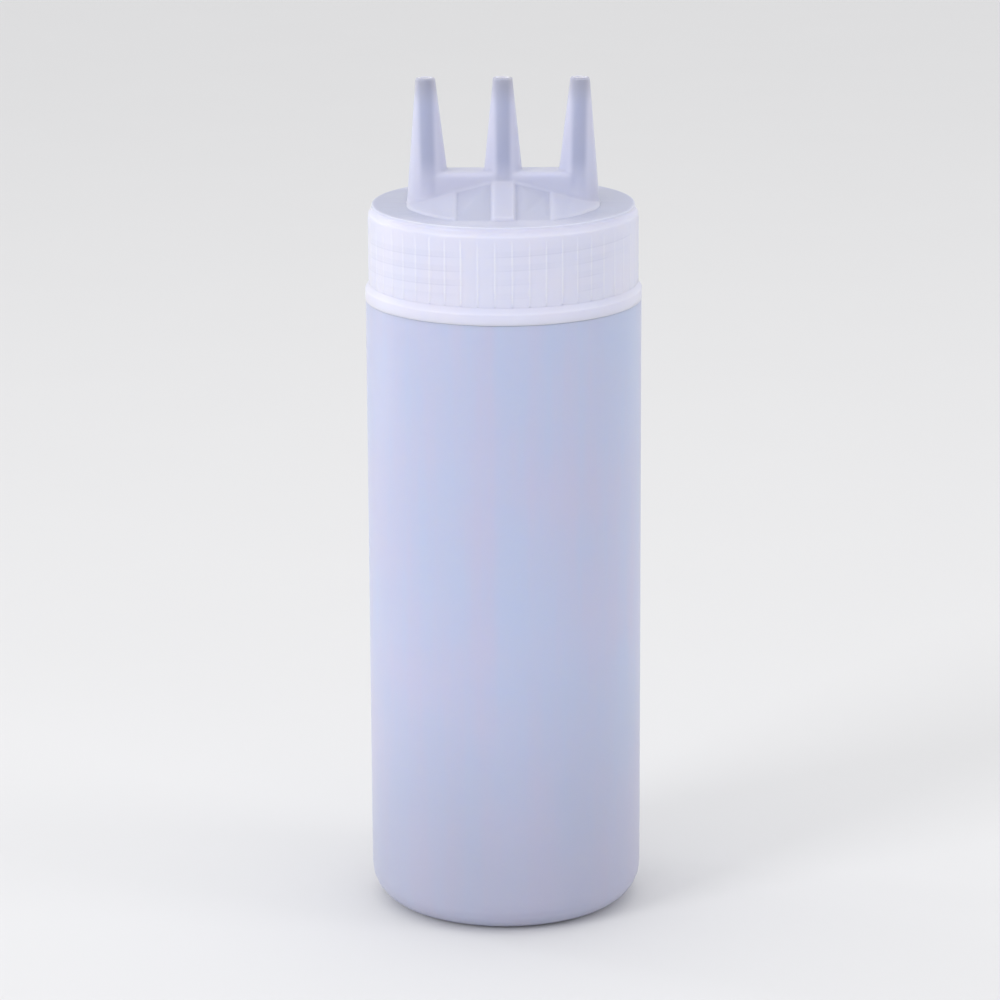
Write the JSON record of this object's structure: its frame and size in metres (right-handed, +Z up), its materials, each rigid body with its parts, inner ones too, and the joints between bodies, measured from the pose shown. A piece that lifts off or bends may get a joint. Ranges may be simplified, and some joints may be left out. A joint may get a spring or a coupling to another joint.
{
  "type": "squeeze bottle with screw cap",
  "caption": "Tall round squeeze bottle of milky translucent plastic with a screw cap that carries a row of open conical nozzles, for pouring sauce in parallel lines.",
  "frame": {"origin": "centre of the base on the surface that the bottle stands on", "axes": "+Z up along the bottle's axis; the nozzles stand in a row along X, and the front looks along +Y"},
  "size_m": [0.0602, 0.0602, 0.1852],
  "materials": {
    "bottle_plastic": "milky translucent low-density polyethylene, satin, faintly blue",
    "cap_plastic": "milky translucent low-density polyethylene, satin, a little whiter than the bottle",
    "ring_plastic": "soft white polyethylene foam, matte"
  },
  "bodies": {
    "bottle": {"bottle": "bottle_plastic"},
    "ring": {"sealing_ring": "ring_plastic"},
    "cap": {"nozzle_cap": "cap_plastic"}
  },
  "joints": [
    {"name": "cap_lift", "type": "slide", "parent": "bottle", "child": "ring", "axis": [0, 0, 1], "range_m": [0, 0.0241]},
    {"name": "cap_turn", "type": "hinge", "parent": "ring", "child": "cap", "pos_m": [0, 0, 0.1572], "axis": [0, 0, 1], "range_deg": [0, 1440]}
  ],
  "couplings": [
    {"joint": "cap_lift", "follows": "cap_turn", "m_per_rad": 0.00095493}
  ]
}
